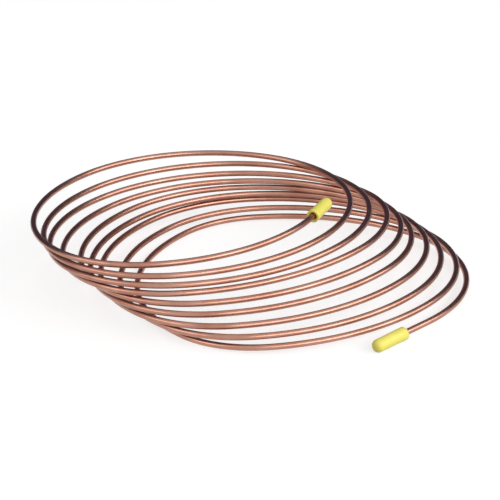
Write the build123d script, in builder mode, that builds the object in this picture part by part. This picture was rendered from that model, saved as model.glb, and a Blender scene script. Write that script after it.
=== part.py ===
"""Copper capillary tube in an open coil that has slumped to one side, with a soft cap on each end.

Millimetres. Z is up and the floor is Z = 0. Seen from the front, which is the -Y side, X runs to the right.
The tube is one length of stock. It runs down turn by turn, as a right-handed helix, from its upper end to
its lower end, and each turn lies a little further right and further forward than the one above it.
"""
import os
from math import cos, pi, radians, sin

from build123d import *

os.makedirs("parts", exist_ok=True)

# Tube stock
tube_od = 2.36
tube_bore = 1.07

# Coil: a typical turn's radius, and the clearance between turns where they cross
coil_radius = 62.5
crossing_gap = 0.43

# How the turns lie, from the top one down, as shares of the coil radius. The right side and the left side of
# each turn have a place across, a place back, and how much longer than round the turn is from front to back.
right_place_shares = [0.54, 0.70, 0.82, 0.93, 1.01, 1.07, 1.16, 1.24, 1.33, 1.38]
right_back_shares = [0.26, 0.22, 0.20, 0.18, 0.10, 0.05, 0.0, -0.08, -0.14, -0.23]
right_long_shares = [0.0, -0.03, -0.14, -0.38, -0.36, -0.30, -0.22, -0.19, -0.25, -0.27]
left_place_shares = [-1.31, -1.24, -1.20, -1.12, -1.01, -0.95, -0.89, -0.77, -0.67]
left_back_shares = [0.15, 0.03, -0.03, -0.08, -0.08, -0.13, -0.11, -0.15, -0.10]
left_long_shares = [0.20, 0.03, -0.03, 0.07, 0.19, 0.18, 0.30, 0.37, 0.53]
turn_count = len(left_place_shares)

# A turn is an oval of bends. This much of each quarter is the bend of its side, and the rest that of its end.
side_angle = 40.0

# Ends: how much of the first bend the upper end leaves out, and the bend and straight run that the lower end
# adds
upper_tail_angle = 25.0
lower_tail_angle = 47.0
lower_tail_share = 0.97
lower_tail_run = 13.0

# End caps
cap_od = 5.2
cap_length = 16.0
cap_mouth = 3.1
cap_mouth_depth = 2.1
cap_grip_length = 9.6
cap_grip_gap = 0.12
cap_lip_round = 0.2
cap_dome_share = 0.8

# Heights of the tube's centre line. Each turn falls to the next one along its front and is level along its
# back, so that it clears the turn below where the two cross. The lower end lies at the height of its cap,
# which rests on the floor, and the left side of the last turn sags to the floor.
turn_rise = tube_od + crossing_gap
right_heights = [cap_od / 2 + turn_rise * (turn_count - n) for n in range(turn_count + 1)]
left_heights = right_heights[1:turn_count] + [tube_od / 2]

right = Vector(1, 0, 0)
back = Vector(0, 1, 0)
up = Vector(0, 0, 1)


def side_point(place_share, back_share, height):
    """The point where one side of a turn runs straight back or straight forward."""
    return right * (coil_radius * place_share) + back * (coil_radius * back_share) + up * height


def bend_point(start, heading, inward, radius, angle):
    """Where a bend that leaves start along heading and turns towards inward has got to at an angle."""
    turned = radians(angle)
    return start + heading * (radius * sin(turned)) + inward * (radius * (1 - cos(turned)))


def bend_directions(heading, inward, angle):
    """Heading and inward direction once a bend has turned through an angle."""
    turned = radians(angle)
    return heading * cos(turned) + inward * sin(turned), inward * cos(turned) - heading * sin(turned)


def bend(start, heading, inward, radius, first_angle, last_angle):
    """The bend from one angle to another, as an arc."""
    angles = first_angle, (first_angle + last_angle) / 2, last_angle
    ThreePointArc(*[bend_point(start, heading, inward, radius, angle) for angle in angles])


def half_turn_bends(start, end, heading, start_share, end_share):
    """Direction across a half turn, and radius and angle of its bends: side, end, end and side.

    A quarter that is longer than round has a wider bend at its side and a tighter one at its end, in the
    proportion that leaves its width as it is.
    """
    start_long = coil_radius * start_share / 2
    end_long = coil_radius * end_share / 2
    chord = end - start - heading * (end - start).dot(heading)
    travel = (end - start).dot(heading) + end_long - start_long
    first_radius = (chord.length + travel) / 2
    second_radius = (chord.length - travel) / 2
    side_cos = cos(radians(side_angle))
    side_sin = sin(radians(side_angle))
    widening = side_cos / (side_sin + side_cos - 1)
    tightening = (1 - side_cos) / (side_sin + side_cos - 1)
    bends = [
        (first_radius + widening * start_long, side_angle),
        (first_radius - tightening * start_long, 90 - side_angle),
        (second_radius - tightening * end_long, 90 - side_angle),
        (second_radius + widening * end_long, side_angle),
    ]
    return chord.normalized(), bends


def half_turn(start, end, heading, start_share, end_share, first_angle):
    """The bends of a half turn, each leaving in line with the one before it."""
    inward, bends = half_turn_bends(start, end, heading, start_share, end_share)
    for radius, angle in bends:
        bend(start, heading, inward, radius, first_angle, angle)
        start = bend_point(start, heading, inward, radius, angle)
        heading, inward = bend_directions(heading, inward, angle)
        first_angle = 0


right_sides = [side_point(*values) for values in zip(right_place_shares, right_back_shares, right_heights)]
left_sides = [side_point(*values) for values in zip(left_place_shares, left_back_shares, left_heights)]

# Upper end: a straight run out of the first bend, into the cap
upper_inward, upper_bends = half_turn_bends(
    right_sides[0], left_sides[0], -back, right_long_shares[0], left_long_shares[0]
)
upper_end = bend_point(right_sides[0], -back, upper_inward, upper_bends[0][0], upper_tail_angle)
upper_heading = -bend_directions(-back, upper_inward, upper_tail_angle)[0]
upper_tip = upper_end + upper_heading * cap_grip_length

# Lower end: the last turn bends on, level, and runs straight up to the cap and into it
lower_radius = coil_radius * lower_tail_share
lower_bend_end = bend_point(right_sides[-1], -back, -right, lower_radius, lower_tail_angle)
lower_heading = bend_directions(-back, -right, lower_tail_angle)[0]
lower_end = lower_bend_end + lower_heading * lower_tail_run
lower_tip = lower_end + lower_heading * cap_grip_length

# Copper tube
with BuildPart() as copper_tube:
    with BuildLine() as tube_path:
        Line(upper_tip, upper_end)
        for n in range(turn_count):
            first_angle = 0 if n else upper_tail_angle
            right_share, next_share = right_long_shares[n : n + 2]
            left_share = left_long_shares[n]
            half_turn(right_sides[n], left_sides[n], -back, right_share, left_share, first_angle)
            half_turn(left_sides[n], right_sides[n + 1], back, left_share, next_share, 0)
        bend(right_sides[-1], -back, -right, lower_radius, 0, lower_tail_angle)
        Line(lower_bend_end, lower_tip)
    with BuildSketch(Plane(origin=upper_tip, z_dir=-upper_heading)):
        Circle(tube_od / 2)
        Circle(tube_bore / 2, mode=Mode.SUBTRACT)
    sweep(path=tube_path.line)
copper_tube.part.label = "copper_tube"

tube_length = sum(edge.length for edge in tube_path.edges())
tube_section = pi * (tube_od**2 - tube_bore**2) / 4
print("tube length", round(tube_length), "volume", round(copper_tube.part.volume))
print("section times length", round(tube_section * tube_length))


def build_cap(mouth, heading, label):
    """A soft cap: a thick wall with a flared mouth, a snug bore and a domed end."""
    bore = tube_od + 2 * cap_grip_gap
    with BuildPart() as cap:
        with BuildSketch(Plane(origin=mouth, z_dir=heading)):
            Circle(cap_od / 2)
        extrude(amount=cap_length)
        ends = cap.faces().filter_by(GeomType.PLANE).sort_by(Axis(mouth, heading))
        fillet(ends[-1].edges(), radius=cap_dome_share * cap_od / 2)
        fillet(ends[0].edges(), radius=cap_lip_round)
        with BuildSketch(Plane(origin=mouth, z_dir=heading)):
            Circle(bore / 2)
        extrude(amount=cap_grip_length + cap_grip_gap, mode=Mode.SUBTRACT)
        with BuildSketch(Plane(origin=mouth, z_dir=heading)):
            Circle(cap_mouth / 2)
        with BuildSketch(Plane(origin=mouth + heading * cap_mouth_depth, z_dir=heading)):
            Circle(bore / 2)
        loft(mode=Mode.SUBTRACT)
    cap.part.label = label
    return cap


# End caps
upper_end_cap = build_cap(upper_end, upper_heading, "upper_end_cap")
lower_end_cap = build_cap(lower_end, lower_heading, "lower_end_cap")

export_step(copper_tube.part, "parts/copper_tube.step")
export_step(upper_end_cap.part, "parts/upper_end_cap.step")
export_step(lower_end_cap.part, "parts/lower_end_cap.step")
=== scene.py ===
from math import cos, pi, radians, sin, tan

import bpy
import numpy as np
from mathutils import Matrix, Vector


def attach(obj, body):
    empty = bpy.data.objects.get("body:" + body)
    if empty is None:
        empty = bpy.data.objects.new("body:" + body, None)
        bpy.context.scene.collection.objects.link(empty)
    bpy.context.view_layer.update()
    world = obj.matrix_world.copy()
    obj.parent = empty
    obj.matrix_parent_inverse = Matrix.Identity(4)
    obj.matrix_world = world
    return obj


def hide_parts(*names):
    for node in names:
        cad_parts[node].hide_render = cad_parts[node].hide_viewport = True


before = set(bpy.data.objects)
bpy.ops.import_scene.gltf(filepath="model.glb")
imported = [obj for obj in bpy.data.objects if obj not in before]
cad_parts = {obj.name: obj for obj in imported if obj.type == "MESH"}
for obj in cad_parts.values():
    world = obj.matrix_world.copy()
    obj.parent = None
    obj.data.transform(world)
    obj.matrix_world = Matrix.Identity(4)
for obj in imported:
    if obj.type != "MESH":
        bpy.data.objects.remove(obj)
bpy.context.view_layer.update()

# Copper tube
# One length of soft drawn capillary tube, 2.36 mm outside with a fine bore, wound by hand into nine open
# turns. It has slumped, so each turn lies a little further right and further forward than the one above it.
mm = 0.001
tube_od = 2.36 * mm
tube_bore = 1.07 * mm
coil_radius = 62.5 * mm
crossing_gap = 0.43 * mm
cap_od = 5.2 * mm
grip_length = 9.6 * mm
side_angle = 40
upper_tail_angle = 25
lower_tail_angle = 47
lower_tail_share = 0.97
lower_tail_run = 13 * mm

# How the turns lie, from the top one down, as shares of the coil radius. Each side of a turn has a place
# across, a place back, and how much longer than round the turn is there from front to back.
right_place_shares = [0.54, 0.70, 0.82, 0.93, 1.01, 1.07, 1.16, 1.24, 1.33, 1.38]
right_back_shares = [0.26, 0.22, 0.20, 0.18, 0.10, 0.05, 0.0, -0.08, -0.14, -0.23]
right_long_shares = [0.0, -0.03, -0.14, -0.38, -0.36, -0.30, -0.22, -0.19, -0.25, -0.27]
left_place_shares = [-1.31, -1.24, -1.20, -1.12, -1.01, -0.95, -0.89, -0.77, -0.67]
left_back_shares = [0.15, 0.03, -0.03, -0.08, -0.08, -0.13, -0.11, -0.15, -0.10]
left_long_shares = [0.20, 0.03, -0.03, 0.07, 0.19, 0.18, 0.30, 0.37, 0.53]
turn_count = len(left_place_shares)

# Each turn falls to the next along its front and is level along its back. The lower end lies at the height
# of its cap, and the left side of the last turn sags to the floor.
turn_rise = tube_od + crossing_gap
right_heights = [cap_od / 2 + turn_rise * (turn_count - n) for n in range(turn_count + 1)]
left_heights = right_heights[1:turn_count] + [tube_od / 2]
right = Vector((1, 0, 0))
back = Vector((0, 1, 0))
up = Vector((0, 0, 1))


def side_point(place_share, back_share, height):
    """The point where one side of a turn runs straight back or straight forward."""
    return right * (coil_radius * place_share) + back * (coil_radius * back_share) + up * height


def bent(start, heading, inward, radius, angle):
    """Place, heading and inward direction after a bend that leaves start along heading, towards inward."""
    turned = radians(angle)
    place = start + heading * (radius * sin(turned)) + inward * (radius * (1 - cos(turned)))
    new_heading = heading * cos(turned) + inward * sin(turned)
    new_inward = inward * cos(turned) - heading * sin(turned)
    return place, new_heading, new_inward


def half_turn_bends(start, end, heading, start_share, end_share):
    """Direction across a half turn, and radius and angle of its bends: side, end, end and side.

    A quarter that is longer than round has a wider bend at its side and a tighter one at its end, in the
    proportion that leaves its width as it is.
    """
    start_long = coil_radius * start_share / 2
    end_long = coil_radius * end_share / 2
    chord = end - start - heading * (end - start).dot(heading)
    travel = (end - start).dot(heading) + end_long - start_long
    first_radius = (chord.length + travel) / 2
    second_radius = (chord.length - travel) / 2
    side_cos = cos(radians(side_angle))
    side_sin = sin(radians(side_angle))
    widening = side_cos / (side_sin + side_cos - 1)
    tightening = (1 - side_cos) / (side_sin + side_cos - 1)
    bends = [
        (first_radius + widening * start_long, side_angle),
        (first_radius - tightening * start_long, 90 - side_angle),
        (second_radius - tightening * end_long, 90 - side_angle),
        (second_radius + widening * end_long, side_angle),
    ]
    return chord.normalized(), bends


right_sides = [side_point(*side) for side in zip(right_place_shares, right_back_shares, right_heights)]
left_sides = [side_point(*side) for side in zip(left_place_shares, left_back_shares, left_heights)]
halves = []
for n in range(turn_count):
    right_share, next_share = right_long_shares[n:n + 2]
    left_share = left_long_shares[n]
    halves.append((right_sides[n], left_sides[n], -back, right_share, left_share))
    halves.append((left_sides[n], right_sides[n + 1], back, left_share, next_share))

# A knot is a point of the centre line, with the length of the stretch that leads to it and the reach of
# that stretch's two handles: a third of a straight run, and for a bend the reach that makes it round.
knots = []


def add_knot(place, heading, reach, length):
    """The next knot down the tube."""
    knots.append({"place": place, "heading": heading, "reach": reach, "length": length})


def add_bend(start, heading, inward, radius, angle, left_out=0):
    """A knot at the end of a bend, of which the first part may be left out."""
    kept = radians(angle - left_out)
    place, heading, inward = bent(start, heading, inward, radius, angle)
    add_knot(place, heading, radius * tan(kept / 4) * 4 / 3, radius * kept)
    return place, heading, inward


upper_inward, upper_bends = half_turn_bends(*halves[0])
upper_radius, _ = upper_bends[0]
upper_end, first_heading, _ = bent(right_sides[0], -back, upper_inward, upper_radius, upper_tail_angle)
upper_heading = -first_heading
add_knot(upper_end + upper_heading * grip_length, first_heading, 0, 0)
add_knot(upper_end, first_heading, grip_length / 3, grip_length)
left_out = upper_tail_angle
for half in halves:
    place, _, heading, _, _ = half
    inward, bends = half_turn_bends(*half)
    for radius, angle in bends:
        place, heading, inward = add_bend(place, heading, inward, radius, angle, left_out)
        left_out = 0
lower_radius = coil_radius * lower_tail_share
bend_end, lower_heading, _ = add_bend(right_sides[-1], -back, -right, lower_radius, lower_tail_angle)
lower_end = bend_end + lower_heading * lower_tail_run
last_run = lower_tail_run + grip_length
add_knot(bend_end + lower_heading * last_run, lower_heading, last_run / 3, last_run)

# The section is the outside and the bore as two circles, and it is drawn along the centre line.
circle_quarters = 4
quarter_steps = {"outside": 7, "bore": 3}
stretch_steps = 18
bpy.ops.object.select_all(action="DESELECT")
bpy.ops.curve.primitive_bezier_circle_add(radius=tube_od / 2)
section = bpy.context.object
bpy.ops.object.mode_set(mode="EDIT")
bpy.ops.curve.primitive_bezier_circle_add(radius=tube_bore / 2)
bpy.ops.object.mode_set(mode="OBJECT")
for circle, steps in zip(section.data.splines, quarter_steps.values()):
    circle.resolution_u = steps

bpy.ops.object.select_all(action="DESELECT")
bpy.ops.curve.primitive_bezier_curve_add()
copper_tube = bpy.context.object
copper_tube.name = "drawn_copper_tube"
copper_tube.data.bevel_mode = "OBJECT"
copper_tube.data.bevel_object = section
copper_tube.data.twist_mode = "MINIMUM"
centre_line = copper_tube.data.splines[0]
centre_line.resolution_u = stretch_steps
centre_line.bezier_points.add(len(knots) - len(centre_line.bezier_points))
next_reaches = [knot["reach"] for knot in knots[1:]] + [0]
for point, knot, next_reach in zip(centre_line.bezier_points, knots, next_reaches):
    point.handle_left_type = point.handle_right_type = "FREE"
    point.co = knot["place"]
    point.handle_left = knot["place"] - knot["heading"] * knot["reach"]
    point.handle_right = knot["place"] + knot["heading"] * next_reach
bpy.ops.object.convert(target="MESH")
bpy.data.objects.remove(section)

# The first map is unrolled to real length, for the lines that the drawing die leaves along the tube. The
# second lays the same length out in rows, with the bore beside the outside, for a flat copy of the finish.
# Every face is a quad until the ends are closed, and the faces of the outside come first.
stretch_ends = np.cumsum([knot["length"] for knot in knots])
stretch_count = len(knots) - 1
quad_corners = 4
map_rows = 16
row_spare = 1.01
row_fill_share = 0.98
outside_share = 0.76
bore_start_share = 0.84
bore_share = 0.1
tube_mesh = copper_tube.data
unrolled = tube_mesh.uv_layers[0]
unrolled.name = "unrolled"
corners = np.zeros(len(tube_mesh.loops) * 2, np.float32)
unrolled.uv.foreach_get("vector", corners)
knot_share, around = corners.reshape(-1, 2).T
along = np.interp(knot_share * stretch_count, range(len(knots)), stretch_ends)
unrolled_places = np.stack([along, around * pi * tube_od], 1)
unrolled.uv.foreach_set("vector", unrolled_places.astype(np.float32).ravel())
row_length = stretch_ends[-1] / map_rows * row_spare
face_start = along.reshape(-1, quad_corners).min(1).repeat(quad_corners)
row = np.floor(face_start / row_length)
outside_faces = circle_quarters * quarter_steps["outside"] * stretch_steps * stretch_count
in_bore = np.arange(len(along)) >= quad_corners * outside_faces
across = np.where(in_bore, bore_start_share + bore_share * around, outside_share * around)
down_row = (along - row * row_length) / row_length * row_fill_share
row_places = np.stack([down_row, (row + across) / map_rows], 1)
rows_map = tube_mesh.uv_layers.new(name="OFBake")
rows_map.uv.foreach_set("vector", row_places.astype(np.float32).ravel())
tube_mesh.uv_layers.active = unrolled
unrolled.active_render = True

# The cut ends are closed by a flat ring between the outside and the bore.
end_slack = tube_od / 100
crease_angle = radians(50)
bpy.ops.object.mode_set(mode="EDIT")
bpy.ops.mesh.select_mode(type="EDGE")
for knot in (knots[0], knots[-1]):
    bpy.ops.mesh.select_all(action="DESELECT")
    bpy.ops.object.mode_set(mode="OBJECT")
    for edge in tube_mesh.edges:
        steps = [tube_mesh.vertices[v].co - knot["place"] for v in edge.vertices]
        edge.select = all(s.length < tube_od and abs(s.dot(knot["heading"])) < end_slack for s in steps)
    bpy.ops.object.mode_set(mode="EDIT")
    bpy.ops.mesh.fill()
bpy.ops.mesh.select_all(action="SELECT")
bpy.ops.mesh.normals_make_consistent(inside=False)
bpy.ops.object.mode_set(mode="OBJECT")
bpy.ops.object.shade_smooth_by_angle(angle=crease_angle)


def linear(hex_colour):
    """An sRGB hex colour as linear red, green, blue and alpha."""
    parts = [int(hex_colour[i:i + 2], 16) / 255 for i in (1, 3, 5)]
    return [p / 12.92 if p <= 0.04045 else ((p + 0.055) / 1.055) ** 2.4 for p in parts] + [1]


def add(tree, kind, inputs=None, **settings):
    """Adds a node with its settings. An input is a value, or another node's output to link from.

    A Mix node of colours has its factor at 0, its two colours at 6 and 7, and the mixed colour at output 2.
    """
    made = tree.nodes.new("ShaderNode" + kind)
    for name, value in settings.items():
        setattr(made, name, value)
    for socket, value in (inputs or {}).items():
        if isinstance(value, bpy.types.NodeSocket):
            tree.links.new(value, made.inputs[socket])
        else:
            made.inputs[socket].default_value = value
    return made


# Drawn copper, bare: a satin metal with fine lines along its length, slight ripples from winding, and a
# thin uneven tarnish that is browner and a little duller. The lines are drawn coarser than real ones, which
# are too fine to show.
bright_copper = linear("#BB8D7C")
brown_copper = linear("#A47260")
line_copper = linear("#936253")
line_length = 60 * mm
line_width = 0.35 * mm
patch_size = 16 * mm
ripple_size = 6 * mm
ripple_height = 0.06 * mm
drawn_copper = bpy.data.materials.new("drawn_copper")
drawn_copper.use_nodes = True
tree = drawn_copper.node_tree
tree.nodes.clear()
unrolled_place = add(tree, "UVMap", uv_map="unrolled").outputs["UV"]
object_place = add(tree, "TexCoord").outputs["Object"]
line_place = add(tree, "Mapping", {
    "Vector": unrolled_place,
    "Scale": (1 / line_length, 1 / line_width, 1),
})
lines = add(tree, "TexNoise", {
    "Vector": line_place.outputs[0],
    "Scale": 1,
    "Detail": 3,
    "Roughness": 0.6,
})
patches = add(tree, "TexNoise", {
    "Vector": object_place,
    "Scale": 1 / patch_size,
    "Detail": 4,
    "Roughness": 0.6,
})
tarnish = add(tree, "MapRange", {"Value": patches.outputs["Fac"], "From Min": 0.35, "From Max": 0.68})
patched = add(tree, "Mix", {0: tarnish.outputs[0], 6: bright_copper, 7: brown_copper}, data_type="RGBA")
line_depth = add(tree, "MapRange", {
    "Value": lines.outputs["Fac"],
    "From Min": 0.5,
    "From Max": 0.75,
    "To Max": 0.2,
})
lined = add(tree, "Mix", {
    0: line_depth.outputs[0],
    6: patched.outputs[2],
    7: line_copper,
}, data_type="RGBA")
satin = add(tree, "MapRange", {
    "Value": patches.outputs["Fac"],
    "From Min": 0.3,
    "From Max": 0.7,
    "To Min": 0.28,
    "To Max": 0.36,
})
ripples = add(tree, "TexNoise", {"Vector": object_place, "Scale": 1 / ripple_size, "Detail": 1})
ripple_bump = add(tree, "Bump", {
    "Height": ripples.outputs["Fac"],
    "Strength": 1,
    "Distance": ripple_height,
})
copper_shader = add(tree, "BsdfPrincipled", {
    "Base Color": lined.outputs[2],
    "Metallic": 1,
    "Roughness": satin.outputs[0],
    "Normal": ripple_bump.outputs[0],
})
add(tree, "OutputMaterial", {"Surface": copper_shader.outputs[0]})
tube_mesh.materials.clear()
tube_mesh.materials.append(drawn_copper)
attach(copper_tube, "root")
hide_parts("copper_tube")

# End caps
# A soft vinyl cap is pushed over each cut end to keep dirt out. It is dip moulded: a thick even wall with a
# clean cut mouth that opens a little around the tube, and a domed closed end.
cap_length = 16 * mm
cap_mouth = 3.1 * mm
mouth_depth = 2.1 * mm
grip_gap = 0.12 * mm
lip_round = 0.25 * mm
dome_share = 0.8
taper_share = 0.96
cap_sides = 48
lip_step = 30
body_steps = 8
dome_step = 10
cap_bore = tube_od + 2 * grip_gap
bore_depth = grip_length + grip_gap
cap_radius = cap_od / 2
tapered_radius = cap_radius * taper_share
dome_radius = dome_share * cap_radius
dome_start = cap_length - dome_radius
tip_radius = cap_radius - dome_radius
lip_middle = (cap_radius + cap_mouth / 2) / 2
lip_half = (cap_radius - cap_mouth / 2) / 2

# The outline is a list of depths from the mouth and radii. It runs from the bottom of the bore out over the
# lip, along the body and round the dome to its tip.
cap_outline = [(bore_depth, cap_bore / 2), (mouth_depth, cap_bore / 2)]
for angle in range(0, 180 + lip_step, lip_step):
    turned = radians(angle)
    cap_outline.append((lip_round * (1 - sin(turned)), lip_middle - lip_half * cos(turned)))
for n in range(1, body_steps + 1):
    share = n / body_steps
    depth = lip_round + (dome_start - lip_round) * share
    cap_outline.append((depth, cap_radius + (tapered_radius - cap_radius) * share))
for angle in range(dome_step, 90 + dome_step, dome_step):
    turned = radians(angle)
    depth = dome_start + dome_radius * sin(turned)
    cap_outline.append((depth, tapered_radius - (tapered_radius - tip_radius) * (1 - cos(turned))))
cap_outline.append((cap_length, tip_radius / 2))

dent_size = 5 * mm
dent_depth = 0.1 * mm
soft_dents = bpy.data.textures.new("soft_dents", "CLOUDS")
soft_dents.noise_scale = dent_size

# Dip-moulded vinyl, soft: light goes a little way into it, so it looks even and slightly waxy. The colour
# goes olive towards the tip of the dome, and round the cut mouth an olive painted shade darkens it; the
# skin has a fine unevenness, drawn coarse enough to show.
clean_yellow = linear("#EEE46E")
deep_yellow = linear("#E3D653")
# The olive of the dome's tip, also used as painted shade round the cut mouth.
olive_tip_and_mouth_shade = linear("#A89A40")
smudge_size = 3 * mm
skin_size = 0.5 * mm
skin_height = 0.05 * mm
light_depth = 1.5 * mm
soft_vinyl = bpy.data.materials.new("soft_yellow_vinyl")
soft_vinyl.use_nodes = True
tree = soft_vinyl.node_tree
tree.nodes.clear()
from_mouth = add(tree, "Attribute", attribute_name="from_mouth").outputs["Fac"]
object_place = add(tree, "TexCoord").outputs["Object"]
smudges = add(tree, "TexNoise", {"Vector": object_place, "Scale": 1 / smudge_size, "Detail": 3})
skin = add(tree, "TexNoise", {"Vector": object_place, "Scale": 1 / skin_size, "Detail": 2})
# The colour goes olive towards the tip of the dome.
dome_tip_darkening = add(tree, "MapRange", {
    "Value": from_mouth,
    "From Min": 0.86,
    "From Max": 1,
    "To Max": 0.3,
})
# Painted shade: round the cut mouth the cap is darkened to olive, where shade falls into the opening.
mouth_painted_shade = add(tree, "MapRange", {
    "Value": from_mouth,
    "From Min": 0.035,
    "From Max": 0,
    "To Max": 0.4,
})
tip_and_mouth_shade = add(tree, "Math", {0: dome_tip_darkening.outputs[0], 1: mouth_painted_shade.outputs[0]}, operation="ADD")
smudged = add(tree, "MapRange", {
    "Value": smudges.outputs["Fac"],
    "From Min": 0.4,
    "From Max": 0.7,
    "To Max": 0.35,
})
vinyl_tone = add(tree, "Mix", {0: smudged.outputs[0], 6: clean_yellow, 7: deep_yellow}, data_type="RGBA")
# The olive of the dome's tip and the painted shade round the mouth are mixed over the yellow.
tip_and_mouth_darkened = add(tree, "Mix", {
    0: tip_and_mouth_shade.outputs[0],
    6: vinyl_tone.outputs[2],
    7: olive_tip_and_mouth_shade,
}, data_type="RGBA")
skin_bump = add(tree, "Bump", {
    "Height": skin.outputs["Fac"],
    "Strength": 0.15,
    "Distance": skin_height,
})
vinyl_shader = add(tree, "BsdfPrincipled", {
    "Base Color": tip_and_mouth_darkened.outputs[2],
    "Roughness": 0.5,
    "IOR": 1.53,
    "Subsurface Weight": 0.4,
    "Subsurface Radius": (1, 0.8, 0.3),
    "Subsurface Scale": light_depth,
    "Normal": skin_bump.outputs[0],
})
add(tree, "OutputMaterial", {"Surface": vinyl_shader.outputs[0]})

# Each cap is drawn out ring by ring along its outline, standing on its mouth, and then laid over its end.
first_depth, first_radius = cap_outline[0]
cap_seats = {"upper_end_cap": (upper_end, upper_heading), "lower_end_cap": (lower_end, lower_heading)}
for name, (mouth, heading) in cap_seats.items():
    bpy.ops.object.select_all(action="DESELECT")
    bpy.ops.mesh.primitive_circle_add(
        vertices=cap_sides, radius=first_radius, location=(0, 0, first_depth), fill_type="TRIFAN"
    )
    cap = bpy.context.object
    cap.name = "vinyl_" + name
    bpy.ops.object.transform_apply()
    bpy.ops.object.mode_set(mode="EDIT")
    bpy.ops.mesh.select_mode(type="EDGE")
    bpy.ops.mesh.select_all(action="SELECT")
    bpy.ops.mesh.region_to_loop()
    for (depth, radius), (next_depth, next_radius) in zip(cap_outline, cap_outline[1:]):
        share = next_radius / radius
        bpy.ops.mesh.extrude_region_move(TRANSFORM_OT_translate={"value": (0, 0, next_depth - depth)})
        bpy.ops.transform.resize(value=(share, share, 1), center_override=(0, 0, 0))
    bpy.ops.mesh.edge_face_add()
    bpy.ops.mesh.poke()
    bpy.ops.mesh.select_all(action="SELECT")
    bpy.ops.mesh.normals_make_consistent(inside=False)
    bpy.ops.object.mode_set(mode="OBJECT")
    dents = cap.modifiers.new("dents", "DISPLACE")
    dents.texture = soft_dents
    dents.texture_coords = "LOCAL"
    dents.mid_level = 1
    dents.strength = dent_depth
    bpy.ops.object.modifier_apply(modifier=dents.name)
    bpy.ops.object.shade_smooth_by_angle(angle=crease_angle)
    depths = cap.data.attributes.new("from_mouth", "FLOAT", "POINT")
    depths.data.foreach_set("value", [v.co.z / cap_length for v in cap.data.vertices])
    cap.matrix_world = Matrix.Translation(mouth) @ heading.to_track_quat("Z", "Y").to_matrix().to_4x4()
    bpy.ops.object.transform_apply()
    cap.data.materials.append(soft_vinyl)
    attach(cap, "root")
    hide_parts(name)

# Floor
# A sheet of white paper that the coil lies on. It takes the coil's shadow, and a glow that only the camera
# and the metal see keeps it white.
floor_size = 30
paper_glow = 0.7
bpy.ops.mesh.primitive_plane_add(size=floor_size)
floor = bpy.context.object
floor.name = "paper_floor"


def seen_directly(tree):
    """An output that is 1 to the camera, also in metal or through glass, and 0 to light on its way."""
    rays = add(tree, "LightPath").outputs
    in_metal = add(tree, "Math", {0: rays["Is Camera Ray"], 1: rays["Is Glossy Ray"]}, operation="MAXIMUM")
    in_glass = rays["Is Transmission Ray"]
    return add(tree, "Math", {0: in_metal.outputs[0], 1: in_glass}, operation="MAXIMUM").outputs[0]


white_paper = bpy.data.materials.new("white_paper")
white_paper.use_nodes = True
tree = white_paper.node_tree
tree.nodes.clear()
added_white = add(tree, "Math", {0: seen_directly(tree), 1: paper_glow}, operation="MULTIPLY")
paper = add(tree, "BsdfDiffuse", {"Color": linear("#B0B0B0")})
glow = add(tree, "Emission", {"Strength": added_white.outputs[0]})
both = add(tree, "AddShader", {0: paper.outputs[0], 1: glow.outputs[0]})
add(tree, "OutputMaterial", {"Surface": both.outputs[0]})
floor.data.materials.append(white_paper)

# Light
# Three softboxes stand low round the front, the left one weak, and the room is evenly lit. A dark card
# curves round behind the coil, out of sight, for the tube to reflect where it runs away from the camera.
room_light = 0.3
studio = bpy.data.worlds.new("studio")
bpy.context.scene.world = studio
studio.use_nodes = True
tree = studio.node_tree
tree.nodes.clear()
strength = add(tree, "MapRange", {"Value": seen_directly(tree), "To Min": room_light, "To Max": 1})
room = add(tree, "Background", {"Color": linear("#FFFFFF"), "Strength": strength.outputs[0]})
add(tree, "OutputWorld", {"Surface": room.outputs[0]})

# A softbox has its azimuth, counted from the front towards the right, its width and its power.
softboxes = {
    "front_softbox": (24, 3.5, 76),
    "right_softbox": (71, 4, 86),
    "left_softbox": (-70, 2.5, 27),
}
softbox_height = 1.7
softbox_distance = 4
softbox_elevation = radians(27)
for name, (azimuth, width, power) in softboxes.items():
    softbox = bpy.data.objects.new(name, bpy.data.lights.new(name, "AREA"))
    bpy.context.scene.collection.objects.link(softbox)
    softbox.data.shape = "RECTANGLE"
    softbox.data.size = width
    softbox.data.size_y = softbox_height
    softbox.data.energy = power
    swung = radians(azimuth)
    level = right * sin(swung) - back * cos(swung)
    towards = level * cos(softbox_elevation) + up * sin(softbox_elevation)
    softbox.location = towards * softbox_distance
    softbox.rotation_euler = towards.to_track_quat("Z", "Y").to_euler()
    softbox.visible_camera = False

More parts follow.
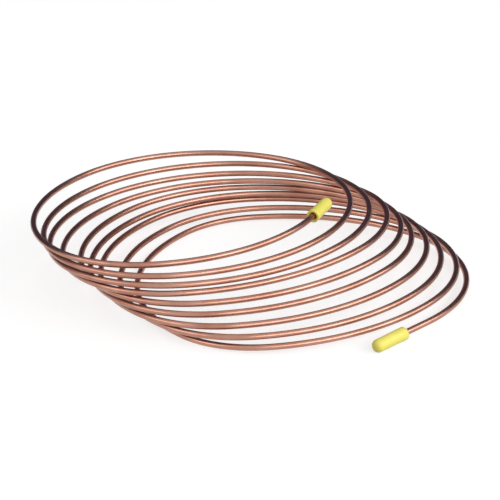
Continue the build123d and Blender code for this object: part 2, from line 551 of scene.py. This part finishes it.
# The card is what is left of a round one when its front is cut away.
card_half_angle = radians(82)
card_radius = 1
card_height = 1.1
card_sides = 72
bpy.ops.object.select_all(action="DESELECT")
bpy.ops.mesh.primitive_cylinder_add(
    vertices=card_sides,
    radius=card_radius,
    depth=card_height,
    end_fill_type="NOTHING",
    location=(0, 0, card_height / 2),
)
back_card = bpy.context.object
back_card.name = "back_card"
bpy.ops.object.transform_apply()
bpy.ops.object.mode_set(mode="EDIT")
bpy.ops.mesh.select_mode(type="FACE")
bpy.ops.mesh.select_all(action="DESELECT")
bpy.ops.object.mode_set(mode="OBJECT")
for face in back_card.data.polygons:
    face.select = face.center.y < card_radius * cos(card_half_angle)
bpy.ops.object.mode_set(mode="EDIT")
bpy.ops.mesh.delete(type="FACE")
bpy.ops.object.mode_set(mode="OBJECT")
dark_card = bpy.data.materials.new("dark_card")
dark_card.use_nodes = True
tree = dark_card.node_tree
tree.nodes.clear()
card_shader = add(tree, "BsdfDiffuse", {"Color": linear("#34365A")})
add(tree, "OutputMaterial", {"Surface": card_shader.outputs[0]})
back_card.data.materials.append(dark_card)
back_card.visible_camera = False
back_card.visible_diffuse = False
back_card.visible_shadow = False
back_card.visible_transmission = False

# Camera
# It looks down on the coil from the front, turned a little on its own axis. The focal length is in pixels
# of a square picture of frame_pixels a side.
camera_target = Vector((3.02, -0.07, 10.42)) * mm
camera_distance = 736.4 * mm
camera_elevation = radians(22.28)
camera_roll = radians(2.74)
focal_pixels = 1866.5
frame_pixels = 500
camera = bpy.data.objects.new("camera", bpy.data.cameras.new("camera"))
bpy.context.scene.collection.objects.link(camera)
camera.data.lens = focal_pixels / frame_pixels * camera.data.sensor_width
away = up * sin(camera_elevation) - back * cos(camera_elevation)
upright = up * cos(camera_elevation) + back * sin(camera_elevation)
tilted_right = right * cos(camera_roll) - upright * sin(camera_roll)
tilted_up = upright * cos(camera_roll) + right * sin(camera_roll)
camera.matrix_world = (
    Matrix.Translation(camera_target + away * camera_distance)
    @ Matrix((tilted_right, tilted_up, away)).transposed().to_4x4()
)
bpy.context.scene.camera = camera
bpy.context.scene.view_settings.view_transform = "Standard"
